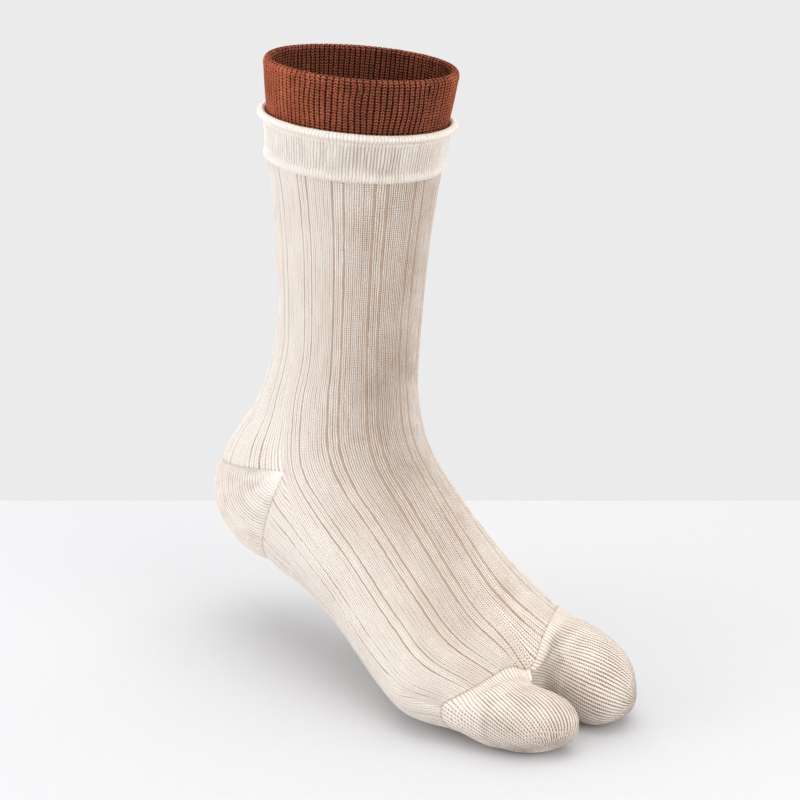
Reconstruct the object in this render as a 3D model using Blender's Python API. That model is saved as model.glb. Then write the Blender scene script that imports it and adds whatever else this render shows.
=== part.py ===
"""A right-foot tabi sock, filled out and standing on its forefoot with the heel raised.
The ribbed cuff of an inner sock stands above its welt. Every piece is a thin knitted wall.
Toes point to -Y, +Z is up, the big toe is at +X. Tables are in millimetres and degrees."""
import bpy
import numpy as np

MM = 0.001
WALL = 1.5                 # knitted wall of the leg, foot, heel and toes
SEAM_GAP = 0.34            # bare gap where two knitted pieces meet
QUARTER_POINTS = 10        # points on each quarter of a section
CLEFT_POINTS = 5           # points down the web between the toes
ROWS_PER_SPAN = 2          # rows between two leg sections
FOOT_ROWS_PER_SPAN = 3     # rows between two foot sections
TOE_ROWS_PER_SPAN = 2      # rows between two toe sections
HEEL_ROWS_PER_SPAN = 3     # rows between two heel sections
CLEFT_X = -3.5             # the web's place across the foot, from its middle
WELT_CENTRE = (0.0, -34.5, 240.5)   # becomes the origin: the middle of the welt, where the leg holds it

# A section is two half ovals that share a side line across the leg: the front half leans
# back by front_turn from level, the back half hangs by back_turn. Power 2 is an ellipse.
SECTION_COLUMNS = (
    "name", "x", "y", "z", "half_width", "front_turn", "front", "front_power",
    "back_turn", "back", "back_power", "bow", "skew", "big_toe_rise",
)
SECTION_ROWS = (
    ("under_welt", 0, -33.4, 231.5, 38.0, -7, 37.5, 2.0, -7, 37.5, 2.0, 0, 0, 0),
    ("calf", 0, -33.0, 216.4, 35.3, -7, 35.6, 2.0, -7, 35.6, 2.0, 0, 0, 0),
    ("shin", 0, -31.2, 190.5, 32.5, -7, 33.8, 2.0, -7, 33.8, 2.0, 0, 0, 0),
    ("low_leg", 0, -28.4, 152.8, 30.8, -3, 33.0, 2.0, -3, 33.0, 2.0, 0, 0, 0),
    ("ankle", 0, -22.0, 124.2, 32.6, 7, 38.2, 2.0, 5, 41.2, 2.05, 0, 0, 0),
    ("turn", 0, -22.8, 96.0, 34.0, 31, 46.5, 2.0, 11, 71.0, 2.5, 0, 0, 0),
    ("arch_back", 0, -34.0, 72.2, 36.0, 48, 48.5, 2.0, 72, 44.2, 2.4, 0, 0, 1),
    ("arch", 1, -58.0, 52.5, 37.2, 60, 43.0, 2.0, 72, 35.5, 2.3, 0, 0, 3),
    ("instep", 3, -84.0, 31.0, 40.8, 69, 38.5, 2.1, 75, 30.5, 2.5, 3, 1, 5),
    ("ball", 4.0, -101.0, 20.5, 44.8, 76, 30.5, 2.25, 82, 20.4, 2.8, 8, 2.5, 8),
    ("toe_seam", 7.5, -116.5, 16.5, 41.8, 82, 21.0, 2.4, 88, 16.4, 2.7, 16, 4, 9),
)
CLEFT_DIP = 9.0            # how far the top of the foot sinks towards the web
CLEFT_HALF_WIDTH = 7.5     # and how wide the sunk part is
# The heel pocket fans round the side line of the section named turn, from its back half.
HEEL_COLUMNS = ("name", "back_turn", "back", "back_power")
HEEL_ROWS = (
    ("heel_back", 23, 84.0, 2.6),
    ("heel_round", 37, 85.0, 2.65),
    ("lower_gore", 60, 69.5, 2.5),
)
# Sections of the two toe pockets, from the seam to the tip.
TOE_COLUMNS = ("x", "y", "z", "half_width", "above", "below", "yaw")
FOUR_TOE_ROWS = (
    (-13.0, -138.0, 14.8, 17.2, 15.7, 14.8, 8),
    (-10.8, -144.5, 14.5, 17.2, 14.8, 14.5, 10),
)
FOUR_TOE_TIP = (-3.4, -164.3, 12.4)
BIG_TOE_ROWS = (
    (31.8, -137.0, 16.2, 19.2, 23.2, 16.2, -1),
    (32.8, -145.5, 15.7, 18.8, 21.4, 15.7, 0),
)
BIG_TOE_TIP = (31.4, -166.3, 14.2)
TOE_INNER_ARC = 38         # half of the arc of a toe section that faces the cleft
TOE_POWERS = (2.05, 2.5)   # above and below the side line

# Closed outlines swept round the leg: height up the leg's axis, and how far the outline
# stands outside the section under the welt.
OUTLINE_COLUMNS = ("height", "out")
WELT_OUTLINE = (
    (0.35, -1.5), (0.35, 0.2), (1.0, 1.2), (2.2, 1.7), (3.4, 1.3), (4.1, 0.5),
    (8.5, 1.1), (12.8, 1.8), (13.6, 3.2), (15.0, 4.6), (16.7, 4.7), (18.1, 3.7),
    (18.3, 2.6), (16.6, 1.4), (13.0, 0.2), (5.0, -1.0),
)
INNER_CUFF_OUTLINE = (
    (-8.0, -5.6), (-8.0, -4.1), (0.0, -2.4), (10.0, -1.1), (20.0, 0.8), (37.9, 2.9),
    (39.5, 3.1), (40.9, 2.6), (41.6, 1.6), (41.2, 0.5), (39.9, 0.1), (38.1, 0.5),
    (20.0, -1.0), (0.0, -3.9),
)

PIECES = {
    "leg": dict(colour=(0.80, 0.73, 0.64), roughness=0.9),
    "foot": dict(colour=(0.80, 0.73, 0.64), roughness=0.9),
    "heel_pocket": dict(colour=(0.78, 0.69, 0.58), roughness=0.92),
    "four_toe_pocket": dict(colour=(0.78, 0.70, 0.60), roughness=0.92),
    "big_toe_pocket": dict(colour=(0.78, 0.70, 0.60), roughness=0.92),
    "welt": dict(colour=(0.80, 0.73, 0.64), roughness=0.9),
    "inner_cuff": dict(colour=(0.27, 0.08, 0.045), roughness=0.92),
}


def columns_of(rows, names):
    """The table's number columns by name, each as an array."""
    table = [dict(zip(names, row)) for row in rows]
    return {name: np.array([line[name] for line in table], float) for name in names if name != "name"}


def through(values, at):
    """A smooth curve through evenly spaced values, read at the given places."""
    ends = np.concatenate([[2 * values[0] - values[1]], values, [2 * values[-1] - values[-2]]])
    start = np.minimum(np.asarray(at, float), len(values) - 1 - 1e-9).astype(int)
    part = (at - start).reshape((-1,) + (1,) * (values.ndim - 1))
    a, b, c, d = ends[start], ends[start + 1], ends[start + 2], ends[start + 3]
    bend = (2 * a - 5 * b + 4 * c - d) * part ** 2 + (3 * b - a - 3 * c + d) * part ** 3
    return 0.5 * (2 * b + (c - a) * part + bend)


def bowed(value, power):
    """A cosine or sine turned from a circle's into a squarer oval's."""
    return np.sign(value) * np.abs(value) ** (2 / power)


SECTIONS = columns_of(SECTION_ROWS, SECTION_COLUMNS)
HEEL = columns_of(HEEL_ROWS, HEEL_COLUMNS)
TURN = [row[0] for row in SECTION_ROWS].index("turn")
LAST = len(SECTION_ROWS) - 1
WEB_X = SECTIONS["x"][-1] + CLEFT_X


def sock_rows(at, angles, heel_share=None):
    """Rows of points on the sock. Angle 0 is the front, a right angle the big-toe side.
    With heel_share the rows are the heel's, fanned from its upper gore to its lower one."""
    back = {
        name: np.concatenate([SECTIONS[name][:TURN + 1], HEEL[name], SECTIONS[name][TURN + 1:]])
        for name in ("back_turn", "back", "back_power")
    }
    fan = len(HEEL_ROWS)
    back_at = np.where(at > TURN, at + fan, at) if heel_share is None else TURN + fan * heel_share
    size = {name: through(SECTIONS[name], at)[:, None] for name in SECTIONS}
    size.update({name: through(back[name], back_at)[:, None] for name in back})
    forward = np.cos(angles)[None, :]
    front = forward >= 0
    power = np.where(front, size["front_power"], size["back_power"])
    turn = np.radians(np.where(front, size["front_turn"], size["back_turn"]))
    reach = np.where(front, size["front"], size["back"]) * bowed(forward, power)
    across = bowed(np.sin(angles)[None, :], power)
    bow = size["bow"] * (1 - np.abs(across) ** 1.5)
    x = size["x"] + size["half_width"] * across
    near_web = np.clip(at - LAST + 1, 0, 1)[:, None] ** 2 * np.exp(-((x - WEB_X) / CLEFT_HALF_WIDTH) ** 2)
    lift = np.maximum(forward, 0) * (size["big_toe_rise"] * across) - front * CLEFT_DIP * near_web
    y = size["y"] - reach * np.cos(turn) - bow + size["skew"] * across
    return np.stack([x, y, size["z"] + reach * np.sin(turn) + lift], -1)


def section_angles():
    """Angles of the points round a section, from the top of the web round to it again."""
    share = CLEFT_X / SECTIONS["half_width"][-1]
    top = np.arcsin(bowed(share, 4 / SECTIONS["front_power"][-1]))
    bottom = np.pi - np.arcsin(bowed(share, 4 / SECTIONS["back_power"][-1]))
    corners = (top, np.pi / 2, bottom, 3 * np.pi / 2, top + 2 * np.pi)
    return np.concatenate([
        np.linspace(a, b, QUARTER_POINTS, endpoint=False) for a, b in zip(corners, corners[1:])
    ])


def toe_sections(rows, angles, side):
    """Sections of a toe pocket. Angle 0 is the top, a right angle its outer side."""
    size = {name: values[:, None] for name, values in columns_of(rows, TOE_COLUMNS).items()}
    upward = np.cos(angles)[None, :]
    power = np.where(upward >= 0, *TOE_POWERS)
    across = side * size["half_width"] * bowed(np.sin(angles)[None, :], power)
    rise = np.where(upward >= 0, size["above"], size["below"]) * bowed(upward, power)
    yaw = np.radians(size["yaw"])
    return np.stack([
        size["x"] + across * np.cos(yaw),
        size["y"] - across * np.sin(yaw),
        size["z"] + rise,
    ], -1)


def toe_pocket(seam_row, row_before, bridge, own, other, tip, per_span):
    """Rows from the seam to the tip. seam_row is the pocket's share of the foot's last row;
    bridge is the web, shared with the other pocket."""
    outer = len(seam_row)
    first = np.concatenate([seam_row, bridge])
    before = np.concatenate([row_before, other[0][outer:]])
    before[outer] = row_before[-1]
    rows = np.concatenate([before[None], first[None], own, 2 * own[-1:] - own[-2:-1]])
    spans = len(own)
    at = np.linspace(0, spans, spans * per_span + 1)
    body = through(rows, at + 1)
    centre = own[-1].mean(axis=0)
    rise = np.linspace(0, np.pi / 2, per_span * 3 + 1)[1:, None, None]
    dome = centre + (np.array(tip, float) - centre) * np.sin(rise) + (own[-1] - centre) * np.cos(rise)
    return np.concatenate([body, dome])


def faces_between(rows, columns, closed):
    """Faces of a grid of rows, wound to face out."""
    ahead = 0 if closed else 1
    return [
        (r * columns + c, r * columns + (c + 1) % columns,
         (r + 1) * columns + (c + 1) % columns, (r + 1) * columns + c)
        for r in range(rows - 1) for c in range(columns - ahead)
    ]


def joined(grids):
    """One surface from (points, closed, flipped) grids, with shared points made one."""
    points, faces, start = [], [], 0
    for grid, closed, flipped in grids:
        rows, columns = grid.shape[:2]
        points.append(grid.reshape(-1, 3))
        for face in faces_between(rows, columns, closed):
            turned = face[::-1] if flipped else face
            faces.append([start + corner for corner in turned])
        start += rows * columns
    everything = np.concatenate(points)
    _, first, same = np.unique(
        np.round(everything, 4), axis=0, return_index=True, return_inverse=True)
    same = same.reshape(-1)
    kept = []
    for face in faces:
        corners = [same[corner] for corner in face]
        corners = [a for a, b in zip(corners, corners[1:] + corners[:1]) if a != b]
        if len(corners) > 2:
            kept.append(corners)
    return everything[first], kept


def normals_of(points, faces):
    """Outward direction at each point, as the mean of the faces round it."""
    normals = np.zeros_like(points)
    for face in faces:
        corners = points[face]
        across = np.cross(corners, np.roll(corners, -1, axis=0)).sum(axis=0)
        normals[face] += across / (np.linalg.norm(across) + 1e-12)
    return normals / np.linalg.norm(normals, axis=1, keepdims=True)


def edge_insets(points, faces, normals):
    """How each point on an open edge moves to leave half the seam's gap."""
    directed = {(a, b) for face in faces for a, b in zip(face, face[1:] + face[:1])}
    rim = {a: b for a, b in directed if (b, a) not in directed}
    before = {b: a for a, b in rim.items()}
    moves = np.zeros_like(points)
    for here, ahead in rim.items():
        inward = []
        for start, end in ((before[here], here), (here, ahead)):
            direction = np.cross(normals[here], points[end] - points[start])
            inward.append(direction / np.linalg.norm(direction))
        corner = max(1 + inward[0] @ inward[1], 0.45)
        moves[here] = (inward[0] + inward[1]) / corner * SEAM_GAP / 2
    return moves, rim


def add_piece(name, points, faces):
    """A closed mesh object in the collection, with its own material."""
    look = PIECES[name]
    mesh = bpy.data.meshes.new(name)
    placed = (np.asarray(points) - np.array(WELT_CENTRE)) * MM
    mesh.from_pydata([tuple(map(float, point)) for point in placed], [], [list(map(int, f)) for f in faces])
    mesh.validate()
    material = bpy.data.materials.new(name)
    material.use_nodes = True
    shader = material.node_tree.nodes["Principled BSDF"]
    shader.inputs["Base Color"].default_value = (*look["colour"], 1.0)
    shader.inputs["Roughness"].default_value = look["roughness"]
    shader.inputs["Metallic"].default_value = 0.0
    mesh.materials.append(material)
    piece = bpy.data.objects.new(name, mesh)
    collection.objects.link(piece)
    return piece


def knitted_wall(name, points, faces, normals):
    """A wall WALL thick inside the surface, closed along its open edges."""
    moves, rim = edge_insets(points, faces, normals)
    outer = points + moves
    inner = outer - WALL * normals
    count = len(points)
    walls = [list(face) for face in faces]
    walls += [[count + corner for corner in reversed(face)] for face in faces]
    walls += [[b, a, count + a, count + b] for a, b in rim.items()]
    return add_piece(name, np.concatenate([outer, inner]), walls)


def swept_band(name, outline):
    """A closed outline swept round the leg's axis above the section under the welt."""
    size = {column: SECTIONS[column][0] for column in SECTIONS}
    lean = np.radians(-size["front_turn"])
    axis = np.array([0, -np.sin(lean), np.cos(lean)])
    ahead = np.array([0, -np.cos(lean), -np.sin(lean)])
    centre = np.array([0, size["y"], size["z"]])
    angles = section_angles()
    rows = []
    for height, out in outline:
        across = (size["half_width"] + out) * np.sin(angles)[:, None] * np.array([1, 0, 0])
        forward = np.where(np.cos(angles) >= 0, size["front"], size["back"]) + out
        rows.append(centre + height * axis + across + (forward * np.cos(angles))[:, None] * ahead)
    rows.append(rows[0])
    points, faces = joined([(np.array(rows), True, False)])
    return add_piece(name, points, faces)


for leftover in list(bpy.data.objects):
    bpy.data.objects.remove(leftover, do_unlink=True)
collection = bpy.data.collections.new("tabi_sock")
bpy.context.scene.collection.children.link(collection)

# The knitted surface, as grids of points
ANGLES = section_angles()
ROUND = len(ANGLES)
HALF = ROUND // 2
leg_at = np.linspace(0, TURN, TURN * ROWS_PER_SPAN + 1)
foot_at = np.linspace(TURN, LAST, (LAST - TURN) * FOOT_ROWS_PER_SPAN + 1)
foot_at[0] += 1e-7
leg = sock_rows(leg_at, ANGLES)
foot = sock_rows(foot_at, ANGLES)
back_half = ANGLES[(ANGLES >= np.pi / 2 - 1e-9) & (ANGLES <= 3 * np.pi / 2 + 1e-9)]
heel_shares = np.linspace(0, 1, len(HEEL_ROWS) * HEEL_ROWS_PER_SPAN + 1)
heel = sock_rows(np.full(len(heel_shares), float(TURN)), back_half, heel_shares)
heel[0] = leg[-1][(ANGLES >= np.pi / 2 - 1e-9) & (ANGLES <= 3 * np.pi / 2 + 1e-9)]
foot[0] = np.where((np.cos(ANGLES) >= -1e-9)[:, None], leg[-1], foot[0])
heel[:, 0] = leg[-1][QUARTER_POINTS]
heel[:, -1] = leg[-1][3 * QUARTER_POINTS]
heel[-1, 1:-1] = foot[0][QUARTER_POINTS + 1:3 * QUARTER_POINTS]

# The two toe pockets share the web between them
inner = np.radians(TOE_INNER_ARC)
outer_arc = np.linspace(inner - np.pi / 2, 3 * np.pi / 2 - inner, HALF + 1)
inner_arc = np.linspace(3 * np.pi / 2 - inner, 3 * np.pi / 2 + inner, CLEFT_POINTS + 1)[1:-1]
toe_angles = np.concatenate([outer_arc, inner_arc])
last_row, row_before = foot[-1], foot[-1 - FOOT_ROWS_PER_SPAN]
shares = np.linspace(0, 1, CLEFT_POINTS + 1)[1:-1, None]
web = last_row[HALF] * (1 - shares) + last_row[0] * shares
big_sections = toe_sections(BIG_TOE_ROWS, toe_angles, 1)
four_sections = toe_sections(FOUR_TOE_ROWS, toe_angles, -1)
big_side = np.arange(HALF + 1)
four_side = -np.arange(HALF + 1) % ROUND
big_toe = toe_pocket(
    last_row[big_side], row_before[big_side], web, big_sections, four_sections,
    BIG_TOE_TIP, TOE_ROWS_PER_SPAN)
four_toe = toe_pocket(
    last_row[four_side], row_before[four_side], web, four_sections, big_sections,
    FOUR_TOE_TIP, TOE_ROWS_PER_SPAN)

SURFACES = {
    "leg": [(leg, True, True)],
    "foot": [(foot, True, True)],
    "heel_pocket": [(heel, False, True)],
    "big_toe_pocket": [(big_toe, True, True)],
    "four_toe_pocket": [(four_toe, True, False)],
}
whole_points, whole_faces = joined([grid for grids in SURFACES.values() for grid in grids])
whole_normals = normals_of(whole_points, whole_faces)
normal_at = {tuple(np.round(p, 3)): n for p, n in zip(whole_points, whole_normals)}
for piece_name, piece_grids in SURFACES.items():
    piece_points, piece_faces = joined(piece_grids)
    piece_normals = np.array([normal_at[tuple(np.round(p, 3))] for p in piece_points])
    knitted_wall(piece_name, piece_points, piece_faces, piece_normals)
swept_band("welt", WELT_OUTLINE)
swept_band("inner_cuff", INNER_CUFF_OUTLINE)
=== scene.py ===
"""A cream right-foot tabi sock, filled out and standing on its forefoot with the heel raised,
with the rust-brown ribbed cuff of an inner sock standing above its welt.
Pieces are shaped in millimetres over the floor and placed in the row's frame, in metres."""
import math

import bpy
import numpy as np
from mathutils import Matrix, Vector


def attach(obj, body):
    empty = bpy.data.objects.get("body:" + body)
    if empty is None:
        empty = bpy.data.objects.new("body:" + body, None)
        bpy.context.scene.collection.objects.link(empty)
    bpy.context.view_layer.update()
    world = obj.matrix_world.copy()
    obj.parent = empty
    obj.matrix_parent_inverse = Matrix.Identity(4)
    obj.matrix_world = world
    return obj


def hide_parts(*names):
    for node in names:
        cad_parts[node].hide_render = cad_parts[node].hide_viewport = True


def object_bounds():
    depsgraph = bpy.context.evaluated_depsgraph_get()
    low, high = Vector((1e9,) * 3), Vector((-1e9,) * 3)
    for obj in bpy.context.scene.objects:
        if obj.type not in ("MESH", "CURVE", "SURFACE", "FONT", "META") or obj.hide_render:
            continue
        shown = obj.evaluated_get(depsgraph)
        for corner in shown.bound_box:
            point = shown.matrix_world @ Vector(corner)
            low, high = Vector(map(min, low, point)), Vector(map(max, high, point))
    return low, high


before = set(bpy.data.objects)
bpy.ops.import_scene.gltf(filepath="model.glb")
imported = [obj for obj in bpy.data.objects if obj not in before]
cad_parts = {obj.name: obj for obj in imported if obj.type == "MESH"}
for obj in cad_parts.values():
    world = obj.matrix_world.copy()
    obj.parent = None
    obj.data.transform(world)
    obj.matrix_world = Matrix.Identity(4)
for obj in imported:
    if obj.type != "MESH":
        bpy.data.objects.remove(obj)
cad_low, cad_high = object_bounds()

# --- Camera -------------------------------------------------------------------
# A long lens, a little above the top of the sock and turned down to its ankle,
# on the side of the four smaller toes.
AIM = Vector((0.0104, -0.0160, -0.1149))
CAMERA_AZIMUTH = math.radians(-44.3)
CAMERA_PITCH = math.radians(16.8)
CAMERA_DISTANCE = 0.72
CAMERA_LENS, SENSOR_WIDTH = 73.16, 36.0   # in mm
towards_camera = Vector((
    math.sin(CAMERA_AZIMUTH) * math.cos(CAMERA_PITCH),
    -math.cos(CAMERA_AZIMUTH) * math.cos(CAMERA_PITCH),
    math.sin(CAMERA_PITCH),
))
camera_place = AIM + towards_camera * CAMERA_DISTANCE
bpy.ops.object.camera_add(location=camera_place, rotation=towards_camera.to_track_quat("Z", "Y").to_euler())
camera = bpy.context.object
camera.name = "camera"
camera.data.lens = CAMERA_LENS
camera.data.sensor_width = SENSOR_WIDTH
bpy.context.scene.camera = camera

# --- Table ----------------------------------------------------------------------
# A smooth white table top, with its far edge a little behind the sock. The pale room
# past it is left open, so that the sock is seen from every side.
TABLE_FROM_CAMERA = 0.902     # from under the camera to the far edge
TABLE_SIZE = 4.0
TABLE_UNDER_SOLE = 0.0006     # keeps the table clear of the knitted sole
TABLE_WHITE = (0.632, 0.632, 0.644, 1)
PAINT_GRAIN, PAINT_DEPTH = 260.0, 0.00005
away = Vector((-towards_camera.x, -towards_camera.y, 0.0)).normalized()
table_height = cad_low.z - TABLE_UNDER_SOLE
far_edge = Vector((camera_place.x, camera_place.y, table_height)) + away * TABLE_FROM_CAMERA
bpy.ops.object.select_all(action="DESELECT")
bpy.ops.mesh.primitive_plane_add(
    size=TABLE_SIZE, location=far_edge - away * TABLE_SIZE / 2, rotation=(0, 0, CAMERA_AZIMUTH))
table = bpy.context.object
table.name = "table"


class Nodes:
    """Adds shader nodes to a new material and joins them up."""

    def __init__(self, name):
        self.material = bpy.data.materials.new(name)
        self.material.use_nodes = True
        self.tree = self.material.node_tree
        self.surface = self.tree.nodes["Principled BSDF"]

    def add(self, kind, settings=None, **inputs):
        """A new node. An input is given by its number, as i0, or by its name with _ for a space."""
        made = self.tree.nodes.new("ShaderNode" + kind)
        for setting, value in (settings or {}).items():
            setattr(made, setting, value)
        for place, value in inputs.items():
            self.give(made, int(place[1:]) if place[1:].isdigit() else place.replace("_", " "), value)
        return made

    def give(self, node, place, value):
        """Joins an input to a node or an output, or sets it to a plain value."""
        socket = node.inputs[place]
        if hasattr(value, "outputs"):
            value = value.outputs[0]
        if hasattr(value, "is_output"):
            self.tree.links.new(value, socket)
        else:
            socket.default_value = value

    def math(self, operation, *values, clamp=False):
        made = self.add("Math", {"operation": operation, "use_clamp": clamp})
        for place, value in enumerate(values):
            self.give(made, place, value)
        return made.outputs[0]

    def ramp(self, value, low, high, to_low=0.0, to_high=1.0):
        made = self.add("MapRange", {"interpolation_type": "SMOOTHSTEP"}, i0=value, i1=low, i2=high,
                        i3=to_low, i4=to_high)
        return made.outputs[0]

    def mix(self, share, first, second):
        made = self.add("Mix", {"data_type": "RGBA"})
        self.give(made, 0, share)
        self.give(made, 6, first)
        self.give(made, 7, second)
        return made.outputs[2]

    def noise(self, coordinates, scale, detail=2.0, roughness=0.5):
        made = self.add("TexNoise", {"noise_dimensions": "3D"}, Vector=coordinates, Scale=scale,
                        Detail=detail, Roughness=roughness)
        return made.outputs["Fac"]


def smooth_paint(name, colour, grain, depth):
    """White paint, nearly smooth."""
    made = Nodes(name)
    place = made.add("TexCoord").outputs["Object"]
    soft = made.noise(place, grain, 4.0, 0.55)
    fine = made.noise(place, grain * 6, 3.0, 0.6)
    height = made.math("ADD", soft, made.math("MULTIPLY", fine, 0.35))
    bump = made.add("Bump", Strength=0.5, Distance=depth, Height=height)
    dimmer = tuple(0.985 * part for part in colour[:3]) + (1,)
    tone = made.mix(made.ramp(soft, 0.3, 0.7), dimmer, colour)
    made.give(made.surface, "Base Color", tone)
    made.give(made.surface, "Normal", bump)
    made.surface.inputs["Roughness"].default_value = 0.85
    made.surface.inputs["Specular IOR Level"].default_value = 0.2
    return made.material


table.data.materials.append(smooth_paint("white_table", TABLE_WHITE, PAINT_GRAIN, PAINT_DEPTH))

# --- Light ----------------------------------------------------------------------
# A wide soft light overhead, a cool panel on the left, a warm one by the camera's right,
# and an even glow from the room.
ROOM_COLOUR, ROOM_STRENGTH = (0.99, 0.99, 1.0, 1.0), 0.84
leftwards = Vector((-away.y, away.x, 0.0))
LIGHTS = (
    ("overhead", AIM + Vector((0, 0, 1.25)) + away * 0.15 - leftwards * 0.05, AIM,
     1.6, 1.4, 11.0, (1.0, 0.99, 0.975)),
    ("left_panel", AIM + leftwards * 1.15 - away * 0.25 + Vector((0, 0, 0.22)), AIM + Vector((0, 0, 0.03)),
     0.9, 0.9, 7.7, (0.95, 0.975, 1.0)),
    ("front_fill", AIM - leftwards * 0.85 - away * 1.0 + Vector((0, 0, 0.45)), AIM,
     1.2, 1.2, 9.8, (1.0, 0.985, 0.965)),
)
for name, place, target, wide, tall, power, tint in LIGHTS:
    bpy.ops.object.light_add(type="AREA", location=place,
                             rotation=(place - target).to_track_quat("Z", "Y").to_euler())
    lamp = bpy.context.object
    lamp.name = name
    lamp.data.shape = "RECTANGLE"
    lamp.data.size = wide
    lamp.data.size_y = tall
    lamp.data.energy = power
    lamp.data.color = tint
room = bpy.data.worlds.new("room")
room.use_nodes = True
room.node_tree.nodes["Background"].inputs["Color"].default_value = ROOM_COLOUR
room.node_tree.nodes["Background"].inputs["Strength"].default_value = ROOM_STRENGTH
bpy.context.scene.world = room
bpy.context.scene.view_settings.view_transform = "Standard"

# --- Leg and foot ---------------------------------------------------------------
# One seamless tube of fine cream cotton jersey, knitted from the welt down to the toes.
# Fourteen pairs of drop-stitch ladders run down it; six go on over the foot.
WELT_CENTRE = np.array((0.0, -34.5, 240.5))   # the row's origin, over the floor
# Sections of the filled sock, from under the welt to the toe seams, in mm and degrees. Each
# half of a section has its own turn, reach and power, and a power over 2 squares it off. bow
# takes the middle towards the toes, skew takes the big-toe side back, and big_toe_rise lifts it.
SECTION_COLUMNS = (
    "x", "y", "z", "half_width", "front_turn", "front", "front_power",
    "back_turn", "back", "back_power", "bow", "skew", "big_toe_rise",
)
SECTION_ROWS = (
    (0, -33.4, 231.5, 38.0, -7, 37.5, 2.0, -7, 37.5, 2.0, 0, 0, 0),
    (0, -33.0, 216.4, 35.3, -7, 35.6, 2.0, -7, 35.6, 2.0, 0, 0, 0),
    (0, -31.2, 190.5, 32.5, -7, 33.8, 2.0, -7, 33.8, 2.0, 0, 0, 0),
    (0, -28.4, 152.8, 30.8, -3, 33.0, 2.0, -3, 33.0, 2.0, 0, 0, 0),
    (0, -22.0, 124.2, 32.6, 13, 39.1, 2.0, 5, 41.2, 2.05, 0, 0, 0),
    (0, -22.8, 96.0, 34.0, 28.8, 45.7, 2.0, 11, 71.0, 2.5, 0, 0, 0),
    (0, -34.0, 72.2, 36.0, 43, 47.4, 2.0, 72, 44.2, 2.4, 0, 0, 1),
    (1, -58.0, 52.5, 37.2, 60, 43.0, 2.0, 72, 35.5, 2.3, 0, 0, 3),
    (3, -84.0, 31.0, 40.8, 69, 38.5, 2.1, 75, 30.5, 2.5, 3, 1, 5),
    (4.0, -101.0, 20.5, 44.8, 76, 30.5, 2.25, 82, 20.4, 2.8, 8, 2.5, 11),
    (7.5, -116.5, 16.5, 41.8, 82, 21.0, 2.4, 88, 16.4, 2.7, 16, 4, 15),
)
CLEFT_DIP, CLEFT_HALF_WIDTH, CLEFT_X = 9.0, 7.5, -3.5   # the dip over the web between the toes
HEEL_COLUMNS = ("back_turn", "back", "back_power")
HEEL_ROWS = ((23, 84.0, 2.6), (37, 85.0, 2.65), (60, 69.5, 2.5))
TURN, LAST = 5, 10            # the section where the heel opens, and the one at the toes

# Where the middles of six ladder pairs lie at each section, in degrees from the front.
PAIR_COLUMNS = ("outer", "outer_front", "front", "inner_front", "inner", "inner_side")
PAIR_ROWS = (
    (-78.0, -53.2, -25.0, 4.2, 32.0, 58.0),
    (-78.5, -53.8, -25.9, 4.2, 32.0, 58.0),
    (-77.8, -53.4, -26.5, 3.5, 31.5, 57.0),
    (-78.0, -53.9, -26.4, 3.1, 31.5, 57.0),
    (-78.0, -51.0, -23.4, 6.2, 33.5, 58.0),
    (-79.0, -51.6, -24.2, 4.2, 32.0, 58.0),
    (-69.3, -47.3, -22.9, 5.1, 31.5, 56.0),
    (-65.8, -43.6, -20.3, 6.3, 31.0, 54.0),
    (-62.2, -39.5, -18.4, 4.0, 29.0, 52.0),
    (-52.7, -31.0, -12.3, 5.9, 30.5, 51.0),
    (-43.0, -24.0, -8.0, 8.0, 32.0, 52.0),
)
REPEATS = 14                  # ladder pairs round the sock
WALES_A_REPEAT = 8
LADDER_WIDTHS = (0.26, 0.34, 0.44, 0.44, 0.34, 0.28)   # in wales, one for each pair of PAIR_ROWS
OTHER_LADDER_WIDTH = 0.24
PAIR_WALE = 0.95              # width of a wale between the two ladders of a pair, in wales
COURSE = 0.9                  # height of a course of loops
FOOT_LADDERS_END, BACK_LADDERS_END = 9.17, 4.72   # the sections where they stop


def columns_of(rows, names):
    return {name: np.array([row[place] for row in rows], float) for place, name in enumerate(names)}


def through(values, at):
    """A smooth curve through evenly spaced values, read at the given places."""
    ends = np.concatenate([[2 * values[0] - values[1]], values, [2 * values[-1] - values[-2]]])
    start = np.minimum(np.asarray(at, float), len(values) - 1 - 1e-9).astype(int)
    part = (at - start).reshape((-1,) + (1,) * (values.ndim - 1))
    a, b, c, d = ends[start], ends[start + 1], ends[start + 2], ends[start + 3]
    bend = (2 * a - 5 * b + 4 * c - d) * part ** 2 + (3 * b - a - 3 * c + d) * part ** 3
    return 0.5 * (2 * b + (c - a) * part + bend)


def bowed(value, power):
    return np.sign(value) * np.abs(value) ** (2 / power)


SECTIONS = columns_of(SECTION_ROWS, SECTION_COLUMNS)
HEEL = columns_of(HEEL_ROWS, HEEL_COLUMNS)
WEB_X = SECTIONS["x"][-1] + CLEFT_X


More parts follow.
